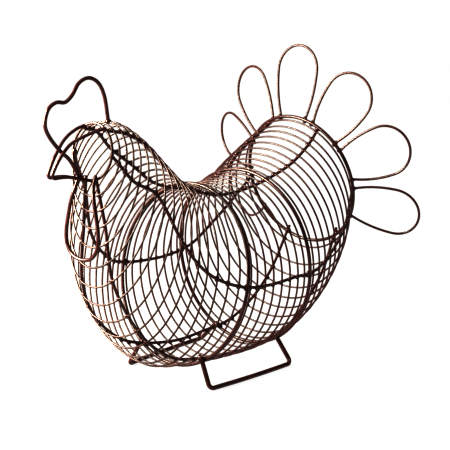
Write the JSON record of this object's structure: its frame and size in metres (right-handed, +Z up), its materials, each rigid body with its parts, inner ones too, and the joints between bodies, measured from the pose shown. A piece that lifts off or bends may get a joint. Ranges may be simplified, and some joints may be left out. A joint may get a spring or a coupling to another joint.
{
  "type": "hen-shaped wire egg and produce basket",
  "caption": "Hen-shaped basket of round wire hoops on long ribs, open at the tail, standing on foot loops; holds eggs or small produce.",
  "frame": {"origin": "centre of the box that holds the basket, at the level of the table it stands on", "axes": "+Z up, +X from the head to the open tail, +Y to the hen's right; the middle plane is Y = 0"},
  "size_m": [0.3244, 0.221, 0.2643],
  "materials": {
    "frame_wire_coating": "thin glossy dark brown paint on round steel wire",
    "thin_wire_coating": "thin glossy dark brown paint on round steel wire",
    "rib_coating": "thin glossy dark brown paint on round steel wire",
    "feather_coating": "thin glossy dark brown paint on round steel wire",
    "foot_coating": "thin glossy dark brown paint on round steel wire",
    "head_wire_coating": "thin glossy dark brown paint on round steel wire"
  },
  "bodies": {
    "root": {"face_hoop": "frame_wire_coating", "breast_hoop": "frame_wire_coating", "rump_frame_hoop": "frame_wire_coating", "tail_hoop": "frame_wire_coating", "neck_hoop_1": "thin_wire_coating", "neck_hoop_2": "thin_wire_coating", "neck_hoop_3": "thin_wire_coating", "neck_hoop_4": "thin_wire_coating", "neck_hoop_5": "thin_wire_coating", "neck_hoop_6": "thin_wire_coating", "neck_hoop_7": "thin_wire_coating", "neck_hoop_8": "thin_wire_coating", "neck_hoop_9": "thin_wire_coating", "neck_hoop_10": "thin_wire_coating", "neck_hoop_11": "thin_wire_coating", "neck_hoop_12": "thin_wire_coating", "neck_hoop_13": "thin_wire_coating", "neck_hoop_14": "thin_wire_coating", "neck_hoop_15": "thin_wire_coating", "belly_hoop_1": "thin_wire_coating", "belly_hoop_2": "thin_wire_coating", "belly_hoop_3": "thin_wire_coating", "belly_hoop_4": "thin_wire_coating", "belly_hoop_5": "thin_wire_coating", "belly_hoop_6": "thin_wire_coating", "belly_hoop_7": "thin_wire_coating", "belly_hoop_8": "thin_wire_coating", "rump_hoop_1": "thin_wire_coating", "rump_hoop_2": "thin_wire_coating", "rump_hoop_3": "thin_wire_coating", "rump_hoop_4": "thin_wire_coating", "rump_hoop_5": "thin_wire_coating", "rump_hoop_6": "thin_wire_coating", "rump_hoop_7": "thin_wire_coating", "rump_hoop_8": "thin_wire_coating", "rump_hoop_9": "thin_wire_coating", "rump_hoop_10": "thin_wire_coating", "left_rib": "rib_coating", "upper_left_rib": "rib_coating", "upper_right_rib": "rib_coating", "right_rib": "rib_coating", "lower_right_rib": "rib_coating", "lower_left_rib": "rib_coating", "tail_feather_1": "feather_coating", "tail_feather_2": "feather_coating", "tail_feather_3": "feather_coating", "tail_feather_4": "feather_coating", "tail_feather_5": "feather_coating", "tail_feather_6": "feather_coating", "tail_feather_7": "feather_coating", "comb": "head_wire_coating", "left_beak_wire": "head_wire_coating", "right_beak_wire": "head_wire_coating", "wattle": "head_wire_coating", "left_foot": "foot_coating", "right_foot": "foot_coating"}
  },
  "joints": []
}
